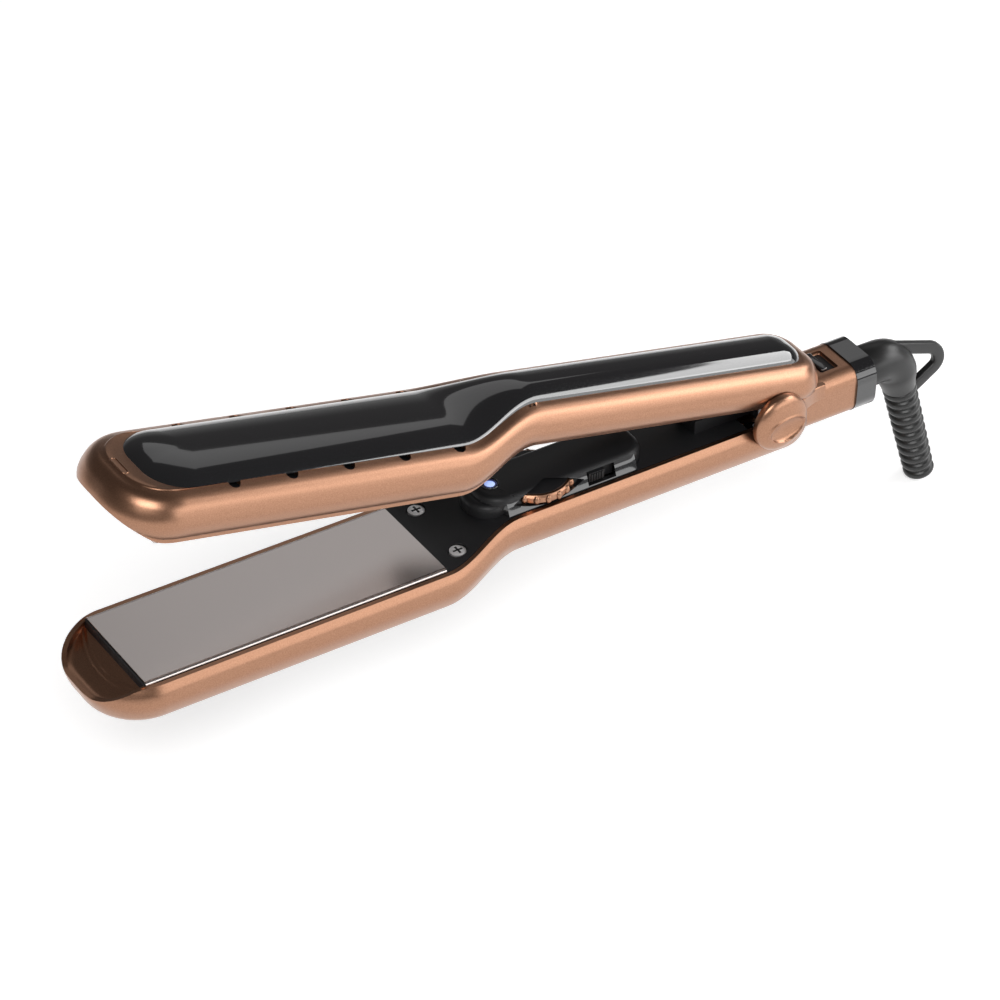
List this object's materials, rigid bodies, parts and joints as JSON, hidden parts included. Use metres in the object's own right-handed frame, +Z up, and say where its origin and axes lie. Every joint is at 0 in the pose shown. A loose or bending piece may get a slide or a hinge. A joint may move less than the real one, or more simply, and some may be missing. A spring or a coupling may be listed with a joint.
{
  "type": "hair straightener",
  "caption": "Salon flat iron with two hinged arms, wide flat heating plates, a control pod with a thumb wheel and a swivelling cord outlet.",
  "frame": {"origin": "middle of the flat land on the underside of the lower outer cover, below the middle of the plates", "axes": "+X from the nose towards the cord, +Y across the arms, +Z up from the lower arm to the upper arm"},
  "size_m": [0.338, 0.0464, 0.1261],
  "materials": {
    "copper_satin": "satin metallic copper paint on moulded plastic",
    "black_gloss": "high gloss black",
    "black_matte": "fine textured black",
    "titanium_plate": "satin titanium coating",
    "ceramic_heater": "fired ceramic",
    "steel": "zinc plated",
    "bronze_bush": "sintered bronze",
    "led_blue": "clear blue lens",
    "circuit_board": "solder mask green",
    "cord_rubber": "satin black rubber"
  },
  "bodies": {
    "lower_arm": {"lower_housing": "copper_satin", "lower_outer_cover": "black_gloss", "lower_inner_cover": "black_matte", "lower_plate": "titanium_plate", "lower_plate_carrier": "black_matte", "lower_heater": "ceramic_heater", "lower_heater_clamp": "steel", "lower_thermistor": "steel", "lower_cover_screws": "steel", "hinge_pin": "steel", "hinge_block": "black_matte", "torsion_spring": "steel", "hinge_cap_near": "copper_satin", "hinge_cap_far": "copper_satin", "control_pod": "black_matte", "pod_bumper": "black_matte", "led_bezel": "black_matte", "led_lens": "led_blue", "led": "led_blue", "control_board": "circuit_board", "dial_potentiometer": "black_matte", "switch_body": "black_matte", "rear_sleeve": "copper_satin", "sleeve_collar": "black_gloss"},
    "upper_arm": {"upper_housing": "copper_satin", "upper_outer_cover": "black_gloss", "upper_inner_cover": "black_matte", "upper_plate": "titanium_plate", "upper_plate_carrier": "black_matte", "upper_heater": "ceramic_heater", "upper_heater_clamp": "steel", "upper_thermistor": "steel", "upper_cover_screws": "steel", "hinge_carrier": "black_matte", "hinge_bush_far": "bronze_bush", "hinge_bush_near": "bronze_bush"},
    "dial": {"temperature_dial": "copper_satin"},
    "switch": {"power_switch": "black_matte"},
    "lock": {"lock_slider": "black_gloss"},
    "swivel": {"swivel_elbow": "cord_rubber", "retaining_ring": "bronze_bush", "strain_relief": "cord_rubber"}
  },
  "joints": [
    {"name": "arm_hinge", "type": "hinge", "parent": "lower_arm", "child": "upper_arm", "pos_m": [0.1857, 0, 0.0269], "axis": [0, 1, 0], "range_deg": [-12.34, 0], "stiffness_Nm_per_rad": 0.35, "springref_deg": 40.11},
    {"name": "dial_turn", "type": "hinge", "parent": "lower_arm", "child": "dial", "pos_m": [0.0991, 0, 0.0267], "axis": [0, 0, 1], "range_deg": [-135, 135]},
    {"name": "switch_slide", "type": "slide", "parent": "lower_arm", "child": "switch", "axis": [1, 0, 0], "range_m": [0, 0.0035]},
    {"name": "lock_slide", "type": "slide", "parent": "lower_arm", "child": "lock", "axis": [1, 0, 0], "range_m": [0, 0.004]},
    {"name": "cord_swivel", "type": "hinge", "parent": "lower_arm", "child": "swivel", "pos_m": [0.22, 0, 0.0211], "axis": [1, 0, 0], "continuous": true}
  ]
}
